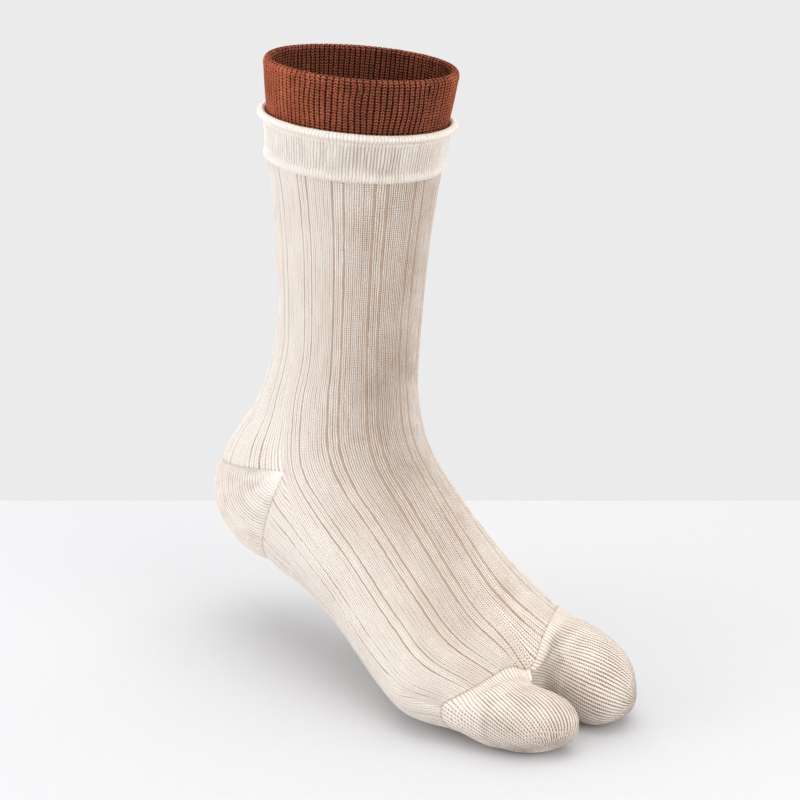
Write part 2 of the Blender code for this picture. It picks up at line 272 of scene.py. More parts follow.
def sock_points(at, angles, heel_share=None):
    """Rows of points on the sock. Angle 0 is the front, a right angle the big-toe side."""
    back = {
        name: np.concatenate([SECTIONS[name][:TURN + 1], HEEL[name], SECTIONS[name][TURN + 1:]])
        for name in HEEL_COLUMNS
    }
    fan = len(HEEL_ROWS)
    back_at = np.where(at > TURN, at + fan, at) if heel_share is None else TURN + fan * heel_share
    size = {name: through(SECTIONS[name], at)[:, None] for name in SECTIONS}
    size.update({name: through(back[name], back_at)[:, None] for name in back})
    forward = np.cos(angles)
    front = forward >= -1e-12
    power = np.where(front, size["front_power"], size["back_power"])
    turn = np.radians(np.where(front, size["front_turn"], size["back_turn"]))
    reach = np.where(front, size["front"], size["back"]) * bowed(forward, power)
    across = bowed(np.sin(angles), power)
    bow = size["bow"] * (1 - np.abs(across) ** 1.5)
    x = size["x"] + size["half_width"] * across
    near_web = np.clip(at - LAST + 1, 0, 1)[:, None] ** 2 * np.exp(-((x - WEB_X) / CLEFT_HALF_WIDTH) ** 2)
    lift = np.maximum(forward, 0) * (size["big_toe_rise"] * across) - front * CLEFT_DIP * near_web
    y = size["y"] - reach * np.cos(turn) - bow + size["skew"] * across
    return np.stack([x, y, size["z"] + reach * np.sin(turn) + lift], -1)


def wale_angles(at, across):
    """The section angle of each column. across counts repeats round the sock, from its side."""
    pairs = through(np.array(PAIR_ROWS), at)
    gap = (360 + pairs[:, :1] - pairs[:, -1:]) / (REPEATS - len(PAIR_COLUMNS) + 1)
    rest = pairs[:, -1:] + gap * np.arange(1, REPEATS - len(PAIR_COLUMNS) + 1)
    knots = np.hstack([rest[:, -1:] - 360, pairs, rest, pairs[:, :1] + 360])
    middles = np.arange(-1, REPEATS + 1) + 0.5
    return np.radians(np.array([np.interp(across, middles, line) for line in knots]))


def row_heights(points):
    """How far along the cloth each row lies, on average round it."""
    steps = np.linalg.norm(np.diff(points, axis=0), axis=-1).mean(axis=1)
    return np.concatenate([[0], np.cumsum(steps)])


def outward(points, closed, inside):
    """Unit normals of a grid of points, away from the points inside."""
    along = np.gradient(points, axis=0)
    if closed:
        round_it = np.roll(points, -1, axis=1) - np.roll(points, 1, axis=1)
    else:
        round_it = np.gradient(points, axis=1)
    normals = np.cross(along, round_it)
    normals /= np.linalg.norm(normals, axis=-1, keepdims=True) + 1e-12
    sides = np.sign((normals * (points - inside)).sum(-1))
    return normals * np.sign(np.median(sides))


def repeat_columns(ladder):
    """Columns of one repeat: three wales, a ladder, two wales, a ladder, three wales.
    Each has its place in the repeat, its wale count and its kind."""
    wide = (WALES_A_REPEAT / 2 - ladder - PAIR_WALE) / 3
    place, wale, columns = 0.0, 0, []
    for run in ("wales", "ladder", "pair", "ladder", "wales"):
        if run == "ladder":
            columns += [(place + ladder * part, wale, kind)
                        for part, kind in ((0, "edge"), (0.3, "ladder"), (0.7, "ladder"))]
            place += ladder
            continue
        for turn in range(2 if run == "pair" else 3):
            width = PAIR_WALE if run == "pair" else wide
            first = "edge" if turn == 0 and len(columns) else "furrow"
            columns += [(place + width * part, wale + part, kind)
                        for part, kind in ((0, first), (0.25, "strand"), (0.5, "middle"), (0.75, "strand"))]
            place += width
            wale += 1
    return columns


# Height of each kind of column in mm, between the ladders and where they have stopped.
RELIEF = {"furrow": -0.12, "strand": 0.07, "middle": 0.0, "edge": 0.05, "ladder": -0.15}
PLAIN_RELIEF = {"furrow": -0.13, "strand": 0.07, "middle": 0.0, "edge": -0.13, "ladder": -0.13}
all_columns = []
for repeat in range(REPEATS):
    width = LADDER_WIDTHS[repeat] if repeat < len(LADDER_WIDTHS) else OTHER_LADDER_WIDTH
    all_columns += [(repeat + place / WALES_A_REPEAT, repeat * WALES_A_REPEAT + wale, kind, repeat)
                    for place, wale, kind in repeat_columns(width)]
column_place = np.array([column[0] for column in all_columns])
column_wale = np.array([column[1] for column in all_columns])
column_relief = np.array([RELIEF[column[2]] for column in all_columns])
column_plain = np.array([PLAIN_RELIEF[column[2]] for column in all_columns])
column_ladder = np.array([float(column[2] == "ladder") for column in all_columns])
column_repeat = np.array([column[3] for column in all_columns])
unsteady = np.random.default_rng(7)


def soft_noise(rows, columns, row_step, column_step):
    """A smooth uneven field between -1 and 1, the same each run."""
    coarse = unsteady.uniform(-1, 1, (int(rows / row_step) + 4, int(columns / column_step) + 4))
    down = np.linspace(0, coarse.shape[0] - 1.001, rows)
    side = np.linspace(0, coarse.shape[1] - 1.001, columns)
    row, column = down.astype(int)[:, None], side.astype(int)[None, :]
    below, beside = down[:, None] - row, side[None, :] - column
    below = below * below * (3 - 2 * below)
    beside = beside * beside * (3 - 2 * beside)
    top = coarse[row, column] * (1 - beside) + coarse[row, column + 1] * beside
    low = coarse[row + 1, column] * (1 - beside) + coarse[row + 1, column + 1] * beside
    return top * (1 - below) + low * below


def bump_at(at, angles, middle, direction, half_tall, half_wide):
    """1 at one place on the sock, falling softly away from it."""
    apart = (np.degrees(angles) - direction + 180) % 360 - 180
    return np.exp(-((at[:, None] - middle) / half_tall) ** 2 - (apart / half_wide) ** 2)


# Soft hollows and swells where the filled cloth gives: the section and angle of each one's
# middle, its half height in sections, its half width in degrees, and its swell in mm.
SOFT_PLACES = (
    (4.55, -108, 0.30, 12, 0.6), (4.35, -84, 0.50, 9, -0.4), (6.4, 20, 0.6, 12, 0.3),
    (3.2, 18, 0.6, 12, -0.3), (5.2, 96, 0.35, 16, -0.6), (4.4, 112, 0.32, 12, 0.6),
    (4.0, 178, 0.30, 30, -0.6), (3.4, -150, 0.5, 14, 0.4), (2.2, 60, 0.8, 14, 0.35),
    (1.6, -70, 0.6, 14, -0.3), (7.3, -100, 0.5, 14, 0.45), (8.3, -75, 0.35, 16, -0.4),
    (7.6, 88, 0.5, 14, 0.5), (8.6, 178, 0.5, 30, -0.5), (6.6, 176, 0.5, 24, 0.5),
)
CORNER_SNAP = 0.03            # in radians: a column this near to the end of a gore is put on it


def wale_tone(at, angles):
    """How strongly the wales show, in relief and in painted shade: most down the front, less at the ankle
    and on the foot, and least round the back and past the ladders' ends."""
    level = at[:, None]
    turned = (np.degrees(angles) + 10 + 180) % 360 - 180
    before_ends = np.clip((9.35 - level) / 0.5, 0, 1)
    on_foot = np.clip((level - 5.6) / 2.5, 0, 1)
    at_ankle = bump_at(at, angles, 4.6, 25, 0.9, 40)
    tone = np.exp(-(np.abs(turned) / 48) ** 2.2) * before_ends * (1 - 0.45 * on_foot)
    tone = tone * (1 - 0.45 * at_ankle)
    tone = 0.45 + 0.55 * tone * (1 + 0.25 * soft_noise(len(at), len(column_place), 16, 30))
    by_toes = np.clip((level - 8.8) / 0.6, 0, 1)
    return tone + 0.2 * by_toes * np.exp(-(turned / 70) ** 2)


def tube_part(at):
    """A stretch of the knitted tube, with its relief, between two of its sections."""
    angles = wale_angles(at, column_place)
    for row in np.flatnonzero(np.abs(at - TURN) < 1e-5):
        for corner in (-np.pi / 2, np.pi / 2, 3 * np.pi / 2):
            nearest = np.abs(angles[row] - corner).argmin()
            if abs(angles[row, nearest] - corner) < CORNER_SNAP:
                angles[row, nearest] = corner
    points = sock_points(at, angles)
    normals = outward(points, True, points.mean(axis=1, keepdims=True))
    level = at[:, None]
    in_pair = (column_repeat < len(PAIR_COLUMNS)) & (level < FOOT_LADDERS_END)
    in_pair |= (column_repeat >= len(PAIR_COLUMNS)) & (level < BACK_LADDERS_END)
    tone = wale_tone(at, angles)
    depth = np.where(in_pair, column_relief, column_plain) * tone
    depth = depth * (1 + 0.35 * soft_noise(len(at), len(column_place), 7, 3))
    for middle, direction, half_tall, half_wide, swell in SOFT_PLACES:
        depth = depth + swell * bump_at(at, angles, middle, direction, half_tall, half_wide)
    return dict(points=points, normals=normals, depth=depth, heights=row_heights(points), angles=angles,
                ladder=column_ladder * in_pair, tone=tone)


def near(heights, edge, reach):
    """1 at an edge of a piece, fading to 0 over reach."""
    return np.exp(-((heights - edge) / reach) ** 2)


# rows of points, closest together beside the gores and the toe seams
leg_at = np.concatenate([np.linspace(0, 4.95, 82), [4.97, 4.985, TURN]])
foot_at = np.concatenate([[TURN + 1e-7, 5.012, 5.03], np.linspace(5.06, 9.82, 72),
                          np.linspace(9.84, LAST, 9)])
leg, foot = tube_part(leg_at), tube_part(foot_at)
# the heel's gores border the back half of the two stretches
for stretch, edge in ((leg, leg["heights"][-1]), (foot, 0.0)):
    back_half = np.cos(stretch["angles"]) < 0.02
    stretch["seam"] = near(stretch["heights"], edge, 0.8)[:, None] * back_half
    stretch["depth"] = stretch["depth"] * (1 - stretch["seam"]) - 0.05 * stretch["seam"]
toe_edge = near(foot["heights"], foot["heights"][-1], 0.7)[:, None]
foot["seam"] = np.maximum(foot["seam"], toe_edge)
toe_ridge = near(foot["heights"], foot["heights"][-1] - 0.9, 0.6)[:, None]
foot["depth"] = foot["depth"] * (1 - toe_edge) + 0.30 * toe_ridge
# down the front, the foot begins with the leg's last row
front_half = np.cos(foot["angles"][0]) >= -1e-9
for given in ("points", "normals", "depth", "tone", "ladder", "seam"):
    foot[given][0, front_half] = leg[given][-1, front_half]
foot["heights"] = foot["heights"] + leg["heights"][-1]
TUBE_LENGTH = foot["heights"][-1]
WELD_DISTANCE = 0.00002


def knitted_piece(name, parts, whole_width, whole_length):
    """One mesh from stretches of cloth. Its knit map runs 0 to 1 round and 0 to 1 along."""
    points, faces, maps, marks, start = [], [], [], {"ladder": [], "seam": [], "tone": []}, 0
    for part in parts:
        placed = part["points"] + part["normals"] * part["depth"][..., None]
        rows, columns = placed.shape[:2]
        across = columns if part.get("closed", True) else columns - 1
        row, column = np.meshgrid(np.arange(rows - 1), np.arange(across), indexing="ij")
        beside = (column + 1) % columns
        corners = np.stack([row * columns + column, row * columns + beside, (row + 1) * columns + beside,
                            (row + 1) * columns + column], -1).reshape(-1, 4)
        wale = np.broadcast_to(part["wales"], (rows, columns)).reshape(-1)[corners]
        # a face that crosses the end of the count goes on past it
        wale = wale + whole_width * (wale.max(axis=1, keepdims=True) - wale > whole_width / 2)
        along = np.broadcast_to(part["heights"].reshape(rows, -1), (rows, columns)).reshape(-1)[corners]
        uv = np.stack([wale / whole_width, along / whole_length], -1)
        flat = placed.reshape(-1, 3)
        origin = flat[corners[:, 0]]
        facing = np.cross(flat[corners[:, 1]] - origin, flat[corners[:, 3]] - origin)
        if (facing * part["normals"].reshape(-1, 3)[corners[:, 0]]).sum() < 0:
            corners, uv = corners[:, ::-1], uv[:, ::-1]
        points.append(flat)
        faces.append(corners + start)
        maps.append(uv.reshape(-1, 2))
        for mark in marks:
            marks[mark].append(np.broadcast_to(part.get(mark, 0.0), (rows, columns)).reshape(-1))
        start += rows * columns
    points = (np.concatenate(points) - WELT_CENTRE) * 0.001
    faces = np.concatenate(faces)
    mesh = bpy.data.meshes.new(name)
    mesh.vertices.add(len(points))
    mesh.vertices.foreach_set("co", points.astype(np.float32).ravel())
    mesh.loops.add(faces.size)
    mesh.loops.foreach_set("vertex_index", faces.ravel().astype(np.int32))
    mesh.polygons.add(len(faces))
    mesh.polygons.foreach_set("loop_start", np.arange(0, faces.size, 4, dtype=np.int32))
    mesh.update(calc_edges=True)
    mesh.uv_layers.new(name="knit").data.foreach_set("uv", np.concatenate(maps).astype(np.float32).ravel())
    for mark, values in marks.items():
        layer = mesh.attributes.new(mark, "FLOAT", "POINT")
        layer.data.foreach_set("value", np.concatenate(values).astype(np.float32))
    piece = bpy.data.objects.new(name, mesh)
    bpy.context.scene.collection.objects.link(piece)
    bpy.ops.object.select_all(action="DESELECT")
    bpy.context.view_layer.objects.active = piece
    piece.select_set(True)
    bpy.ops.object.mode_set(mode="EDIT")
    bpy.ops.mesh.select_all(action="SELECT")
    bpy.ops.mesh.remove_doubles(threshold=WELD_DISTANCE)
    bpy.ops.object.mode_set(mode="OBJECT")
    bpy.ops.object.shade_smooth()
    return piece


def knit_material(name, light, shaded, gap, wales, courses, columns=1.65, centres=1.45, dots=0.5,
                  depth=0.00045, sheen=0.10, wander=0.3, waver=0.9, slope=0.5,
                  chop=0.45, fine=3.4, even=0.7, tint=(1.0, 0.95, 0.88, 1.0)):
    """Knitted cotton. Each wale is a column of V loops, two strands wide: columns, centres and
    dots say how much painted shade, in the gap colour, lies between the wales, down their
    middles and between the loops; the tone attribute scales it and the bump."""
    made = Nodes(name)
    place = made.add("TexCoord").outputs["Object"]
    knit = made.add("SeparateXYZ", None, i0=made.add("UVMap", {"uv_map": "knit"}))
    contrast = made.add("Attribute", {"attribute_name": "tone"}).outputs["Fac"]
    ladder = made.add("Attribute", {"attribute_name": "ladder"}).outputs["Fac"]
    seam = made.add("Attribute", {"attribute_name": "seam"}).outputs["Fac"]
    across = made.math("MULTIPLY_ADD", knit.outputs[0], float(wales),
                       made.math("MULTIPLY_ADD", made.noise(place, 240.0, 2.0), wander, -wander / 2))
    along = made.math("MULTIPLY_ADD", knit.outputs[1], float(courses),
                      made.math("MULTIPLY_ADD", made.noise(place, 300.0, 2.0), waver, -waver / 2))
    # 1 in the furrow between two wales, 0 down a wale's middle
    furrow = made.math("ABSOLUTE", made.math("MULTIPLY_ADD", made.math("FRACT", across), 2.0, -1.0))
    strand = made.math("SINE", made.math("MULTIPLY", furrow, math.pi))
    slant = made.math("MULTIPLY", made.math("MULTIPLY_ADD", furrow, slope, along), 2 * math.pi)
    between = made.math("MULTIPLY_ADD", made.math("COSINE", slant), 0.5, 0.5)
    # some wales and some loops are slacker than others
    lengthwise = made.add("CombineXYZ", None, i0=made.math("MULTIPLY", knit.outputs[0], wales * 0.9),
                          i1=made.math("MULTIPLY", knit.outputs[1], courses * 0.05), i2=3.0)
    slack = made.ramp(made.noise(lengthwise, 1.0, 2.0, 0.5), 0.3, 0.7, even, 2 - even)
    loopwise = made.add("CombineXYZ", None, i0=made.math("MULTIPLY", knit.outputs[0], wales * 2.0),
                        i1=made.math("MULTIPLY", knit.outputs[1], float(courses)), i2=7.0)
    loose = made.ramp(made.noise(loopwise, 1.0, 1.0, 0.5), 0.3, 0.7, 0.3, 1.8)
    # painted shade: the gap colour is laid into the furrows between wales, down their middles and into the
    # openings between loops, where real knit falls into shade
    broken = made.math("MULTIPLY_ADD", between, chop, 1 - chop)
    furrow_shade = made.math("MULTIPLY", made.math("MULTIPLY", made.math("POWER", furrow, fine), slack), broken)
    middle = made.math("MULTIPLY", made.math("POWER", made.math("SUBTRACT", 1.0, furrow), fine), broken)
    hole_shade = made.math("MULTIPLY", made.math("MULTIPLY", made.math("POWER", between, 3.0), loose),
                      made.math("MULTIPLY_ADD", furrow, 0.6, 0.4))
    painted_shade = made.math("MULTIPLY_ADD", furrow_shade, columns, made.math("MULTIPLY", hole_shade, dots))
    painted_shade = made.math("MULTIPLY_ADD", middle, centres, painted_shade)
    painted_shade = made.math("MULTIPLY", painted_shade, contrast, clamp=True)
    cloudy = made.ramp(made.noise(place, 55.0, 3.0, 0.55), 0.35, 0.7)
    heather = made.ramp(made.noise(place, 1400.0, 2.0, 0.7), 0.35, 0.75)
    uneven = made.math("MULTIPLY_ADD", cloudy, 0.35, made.math("MULTIPLY", heather, 0.5))
    tone = made.mix(uneven, light, shaded)
    tone = made.mix(painted_shade, tone, gap)
    # across a ladder only the bare thread of each course is left; between the threads the gap colour is
    # painted shade from the sock's inside
    rung = made.math("MULTIPLY_ADD", made.math("COSINE", made.math("MULTIPLY", along, 2 * math.pi)), 0.5, 0.5)
    bare = made.mix(made.math("MULTIPLY", rung, 0.6), gap, shaded)
    tone = made.mix(made.ramp(ladder, 0.1, 0.75, 0.0, 0.92), tone, bare)
    stitched = made.math("MULTIPLY", made.math("POWER", seam, 2.0), made.math("SUBTRACT", 0.95, strand),
                         clamp=True)
    tone = made.mix(stitched, tone, gap)
    lint = made.noise(place, 2400.0, 2.0, 0.7)
    loops = made.math("MULTIPLY", strand, made.math("MULTIPLY_ADD", between, -chop, 1.0))
    height = made.math("MULTIPLY_ADD", loops, 0.8, made.math("MULTIPLY", lint, 0.35))
    height = made.math("MULTIPLY", made.math("SUBTRACT", height, made.math("MULTIPLY", painted_shade, 0.5)), contrast)
    bump = made.add("Bump", Strength=0.9, Distance=depth, Height=height)
    made.give(made.surface, "Base Color", tone)
    made.give(made.surface, "Normal", bump)
    made.give(made.surface, "Roughness", made.math("MULTIPLY_ADD", lint, 0.12, 0.82))
    made.surface.inputs["Specular IOR Level"].default_value = 0.12
    made.surface.inputs["Sheen Weight"].default_value = sheen
    made.surface.inputs["Sheen Roughness"].default_value = 0.45
    made.surface.inputs["Sheen Tint"].default_value = tint
    return made.material


CREAM_LIGHT = (0.925, 0.885, 0.835, 1)
CREAM_SHADED = (0.86, 0.785, 0.70, 1)
# the third cream colour is painted shade, for the furrows and loop openings of the knit
CREAM_PAINTED_SHADE = (0.29, 0.17, 0.10, 1)
TUBE_WALES = REPEATS * WALES_A_REPEAT
leg["wales"] = foot["wales"] = column_wale
cream_jersey = knit_material("cream_cotton_jersey", CREAM_LIGHT, CREAM_SHADED, CREAM_PAINTED_SHADE,
                             TUBE_WALES, round(TUBE_LENGTH / COURSE))
tube = knitted_piece("leg_and_foot_tube", [leg, foot], TUBE_WALES, TUBE_LENGTH)
tube.data.materials.append(cream_jersey)
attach(tube, "root")
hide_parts("leg", "foot")

# --- Heel pocket ------------------------------------------------------------------
# A pocket of plated, denser jersey, knitted back and forth on the back half of the needles.
# Its gores meet the tube in two lines of small eyelets on each side.
HEEL_WALE = 2.4               # width of a wale, in mm
HEEL_STEPS = 8                # points to a wale
HEEL_COURSE = 1.1
HEEL_STRAND, HEEL_FURROW = 0.06, 0.12   # relief, in mm
HEEL_LIGHT, HEEL_SHADED = (0.935, 0.885, 0.825, 1), (0.89, 0.805, 0.715, 1)
# the heel's third colour is painted shade, for the furrows and loop openings of its knit
HEEL_PAINTED_SHADE = (0.36, 0.195, 0.105, 1)
HEEL_INSIDE = np.array((0.0, -20.0, 85.0))
heel_share = np.concatenate([[0, 0.006, 0.014], np.linspace(0.026, 0.974, 64), [0.986, 0.994, 1.0]])
trial = np.radians(np.linspace(90, 270, 721))
middle_line = sock_points(np.full(1, float(TURN)), trial[None, :], np.full(1, 0.5))[0]
middle_arc = np.concatenate([[0], np.cumsum(np.linalg.norm(np.diff(middle_line, axis=0), axis=1))])
heel_wales = 2 * round(middle_arc[-1] / HEEL_WALE / 2)
heel_wale = np.arange(heel_wales * HEEL_STEPS + 1) / HEEL_STEPS
heel_angles = np.interp(heel_wale / heel_wales, middle_arc / middle_arc[-1], trial)
heel_angles[[0, -1]] = np.pi / 2, 3 * np.pi / 2
heel_points = sock_points(np.full(len(heel_share), float(TURN)),
                          np.repeat(heel_angles[None, :], len(heel_share), axis=0), heel_share)
heel_normals = outward(heel_points, False, HEEL_INSIDE)
# distance from the gores, so that the relief dies away at the apex too
heel_rows = np.concatenate([np.zeros((1, heel_points.shape[1])),
                            np.cumsum(np.linalg.norm(np.diff(heel_points, axis=0), axis=-1), axis=0)])
from_gore = np.minimum(heel_rows, heel_rows[-1:] - heel_rows)
gore_edge = np.exp(-(from_gore / 0.9) ** 2)
heel_furrow = np.abs(2 * (heel_wale % 1) - 1)[None, :]
heel_strand = 1 - np.abs(2 * (2 * heel_wale % 1) - 1)[None, :] ** 2
away_from_apex = np.minimum(heel_wale, heel_wales - heel_wale)[None, :]
# heel_tone sets the relief and the strength of the painted shade in the furrows, fading towards the apex
heel_tone = np.clip(away_from_apex / 12, 0.12, 1) * 0.74
heel_tone = heel_tone * (1 + 0.2 * soft_noise(len(heel_share), len(heel_wale), 12, 30))
heel_depth = (HEEL_STRAND * heel_strand - HEEL_FURROW * heel_furrow ** 4) * heel_tone
heel_depth = heel_depth * (1 + 0.3 * soft_noise(len(heel_share), len(heel_wale), 6, 8))
heel_depth = heel_depth * (1 - gore_edge) - 0.05 * gore_edge
heel_length = heel_rows[-1].max()
heel_part = dict(points=heel_points, normals=heel_normals, depth=heel_depth, closed=False,
                 wales=heel_wale[None, :], heights=heel_share * heel_length, seam=gore_edge, tone=heel_tone)
heel_jersey = knit_material("heel_plated_jersey", HEEL_LIGHT, HEEL_SHADED, HEEL_PAINTED_SHADE, heel_wales,
                            round(heel_length / HEEL_COURSE), columns=1.2, centres=0.25, dots=0.25)
heel = knitted_piece("heel_pocket_knit", [heel_part], heel_wales, heel_length)
heel.data.materials.append(heel_jersey)
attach(heel, "root")
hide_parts("heel_pocket")

# --- Toe pockets --------------------------------------------------------------------
# One pocket for the big toe and one for the other four, in the same denser jersey.
# Each is knitted on from the foot's edge, over its tip, and they share the web of the cleft.
TOE_COLUMNS = ("x", "y", "z", "half_width", "above", "below", "yaw")
FOUR_TOE_ROWS = (
    (-13.0, -138.0, 14.8, 17.2, 12.6, 14.8, 8),
    (-10.8, -144.5, 14.5, 17.2, 10.9, 14.5, 10),
)
BIG_TOE_ROWS = (
    (31.8, -137.0, 16.2, 19.2, 23.2, 16.2, -1),
    (32.8, -145.5, 15.7, 18.8, 20.6, 15.7, 0),
)
FOUR_TOE_TIP, BIG_TOE_TIP = np.array((-3.4, -164.3, 10.4)), np.array((31.4, -166.8, 12.4))
# where the wales of each pocket close together, under its tip
FOUR_TOE_CLOSE, BIG_TOE_CLOSE = np.array((-10.0, -157.0, 1.0)), np.array((45.0, -158.0, 6.0))
TOE_INNER_ARC = 38            # degrees each way that the web takes of a pocket's inner side
TOE_POWERS = (2.05, 2.5)      # above and below the middle of a section
TOE_WALE, TOE_COURSE = 1.4, 0.95
QUARTER, WEB_STEPS = 60, 36   # points to a quarter of the foot's last row, and across the web
TOE_POINTS = 340              # points round a pocket
TOE_STRAND, TOE_FURROW, TOE_SWELL = 0.05, 0.17, 0.25   # relief, in mm
WALE_ROW = 20                 # the row that sets a pocket's number of wales
# the last of these colours is painted shade, for the furrows and loop openings of the toe knit
TOE_LIGHT, TOE_SHADED, TOE_PAINTED_SHADE = (0.885, 0.815, 0.75, 1), (0.82, 0.73, 0.64, 1), (0.24, 0.13, 0.07, 1)


def seam_angles():
    """Angles of the foot's last row, from the top of the web round to it again."""
    share = CLEFT_X / SECTIONS["half_width"][-1]
    top = np.arcsin(bowed(share, 4 / SECTIONS["front_power"][-1]))
    bottom = np.pi - np.arcsin(bowed(share, 4 / SECTIONS["back_power"][-1]))
    corners = (top, np.pi / 2, bottom, 3 * np.pi / 2, top + 2 * np.pi)
    return np.concatenate([np.linspace(a, b, QUARTER, endpoint=False) for a, b in zip(corners, corners[1:])])


def toe_sections(rows, angles, side):
    """Sections of a toe pocket. Angle 0 is the top, a right angle its outer side."""
    size = {name: values[:, None] for name, values in columns_of(rows, TOE_COLUMNS).items()}
    upward = np.cos(angles)[None, :]
    power = np.where(upward >= 0, *TOE_POWERS)
    across = side * size["half_width"] * bowed(np.sin(angles)[None, :], power)
    rise = np.where(upward >= 0, size["above"], size["below"]) * bowed(upward, power)
    yaw = np.radians(size["yaw"])
    x = size["x"] + across * np.cos(yaw)
    y = size["y"] - across * np.sin(yaw)
    return np.stack([x, y, size["z"] + rise], -1)


def toe_pocket(seam_row, row_before, bridge, own, other, tip):
    """Rows of a pocket, from the foot's last row and the shared web to a domed tip."""
    outer = len(seam_row)
    first = np.concatenate([seam_row, bridge])
    before = np.concatenate([row_before, other[0][outer:]])
    before[outer] = row_before[-1]
    rows = np.concatenate([before[None], first[None], own, 2 * own[-1:] - own[-2:-1]])
    spans = len(own)
    at = np.concatenate([[0, 0.012, 0.03, 0.055], np.linspace(0.085, spans, 52)])
    centre = own[-1].mean(axis=0)
    rise = (np.pi / 2 * np.linspace(0, 1, 41)[1:])[:, None, None]
    dome = centre + (tip - centre) * np.sin(rise) + (own[-1] - centre) * np.cos(rise)
    return np.concatenate([through(rows, at + 1), dome])


toe_seam_angles = seam_angles()
toe_rows = sock_points(np.array([LAST - 1.0, float(LAST)]), np.repeat(toe_seam_angles[None, :], 2, axis=0))
half = 2 * QUARTER
inner_arc = np.radians(TOE_INNER_ARC)
toe_angles = np.concatenate([
    np.linspace(inner_arc - np.pi / 2, 3 * np.pi / 2 - inner_arc, half + 1),
    np.linspace(3 * np.pi / 2 - inner_arc, 3 * np.pi / 2 + inner_arc, WEB_STEPS + 1)[1:-1],
])
web_share = np.linspace(0, 1, WEB_STEPS + 1)[1:-1, None]
web = toe_rows[1][half] * (1 - web_share) + toe_rows[1][0] * web_share
big_sections = toe_sections(BIG_TOE_ROWS, toe_angles, 1)
four_sections = toe_sections(FOUR_TOE_ROWS, toe_angles, -1)
big_side = np.arange(half + 1)
four_side = -np.arange(half + 1) % (4 * QUARTER)


def finer(rows, places):
    """The same closed rows with evenly spaced points, that many to a row."""
    finished = []
    for row in rows:
        loop = np.concatenate([row, row[:1]])
        arc = np.concatenate([[0], np.cumsum(np.linalg.norm(np.diff(loop, axis=0), axis=1))])
        spots = np.arange(places) / places * arc[-1]
        finished.append(np.stack([np.interp(spots, arc, loop[:, axis]) for axis in range(3)], -1)
                        if arc[-1] > 1e-6 else np.repeat(row[:1], places, axis=0))
    return np.array(finished)


def toe_part(rows, close):
    """The pocket's relief. Its wales spread round a line from the seam to where they close."""
    points = finer(rows, TOE_POINTS)
    start = points[0].mean(axis=0)
    centre = points[:-1].mean(axis=1, keepdims=True)
    normals = outward(points, True, np.concatenate([centre, centre[-1:]]))
    ahead = points[-1, 0] - start
    normals[-1] = ahead / np.linalg.norm(ahead)
    line = (close - start) / np.linalg.norm(close - start)
    side = np.cross(line, (0, 0, 1.0))
    side /= np.linalg.norm(side)
    up = np.cross(side, line)
    offset = points - start
    around = np.arctan2(offset @ side, offset @ up)
    count = round(np.linalg.norm(np.diff(points[WALE_ROW], axis=0), axis=1).sum() / TOE_WALE)
    wale = around / (2 * np.pi) % 1 * count
    reach = offset @ line
    from_line = np.linalg.norm(offset - reach[..., None] * line, axis=-1)
    typical = np.median(from_line[:WALE_ROW])
    clear = 0.3 + 0.7 * np.clip((from_line / typical - 0.15) / 0.3, 0, 1)
    heights = row_heights(points)
    furrow = np.abs(2 * (wale % 1) - 1)
    strand = 1 - np.abs(2 * (2 * wale % 1) - 1) ** 2
    from_seam = np.clip(heights / 26, 0, 1)[:, None]
    # tone sets the relief and the strength of the painted shade in the furrows; the painted shade is weaker
    # where the cloth faces up, and fainter near the line where the wales close
    facing_up = np.clip(normals[..., 2], 0, 1)
    tone = (0.60 + 0.45 * from_seam) * clear * (1 - 0.20 * facing_up)
    tone = tone * (1 + 0.2 * soft_noise(*points.shape[:2], 14, 30))
    depth = (TOE_STRAND * strand - TOE_FURROW * furrow ** 3) * tone
    depth = depth * (1 + 0.4 * soft_noise(*points.shape[:2], 6, 5))
    depth = depth + TOE_SWELL * soft_noise(*points.shape[:2], 26, 60) * from_seam
    edge = near(heights, 0.0, 0.6)[:, None]
    depth = depth * (1 - edge) - 0.04 * edge
    return dict(points=points, normals=normals, depth=depth, heights=heights, wales=wale, count=count,
                seam=edge * np.ones_like(wale), tone=tone)


for name, node, place, own, other, tip, close in (
    ("big_toe_knit", "big_toe_pocket", big_side, big_sections, four_sections,
     BIG_TOE_TIP, BIG_TOE_CLOSE),
    ("four_toe_knit", "four_toe_pocket", four_side, four_sections, big_sections,
     FOUR_TOE_TIP, FOUR_TOE_CLOSE),
):
    part = toe_part(toe_pocket(toe_rows[1][place], toe_rows[0][place], web, own, other, tip), close)
    toe_length = part["heights"].max()
    toe = knitted_piece(name, [part], part["count"], toe_length)
    toe.data.materials.append(knit_material(
        name + "_jersey", TOE_LIGHT, TOE_SHADED, TOE_PAINTED_SHADE, part["count"], round(toe_length / TOE_COURSE),
        columns=1.45, centres=0.0, dots=0.45, slope=0.3, chop=0.65, fine=2.2))
    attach(toe, "root")
    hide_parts(node)

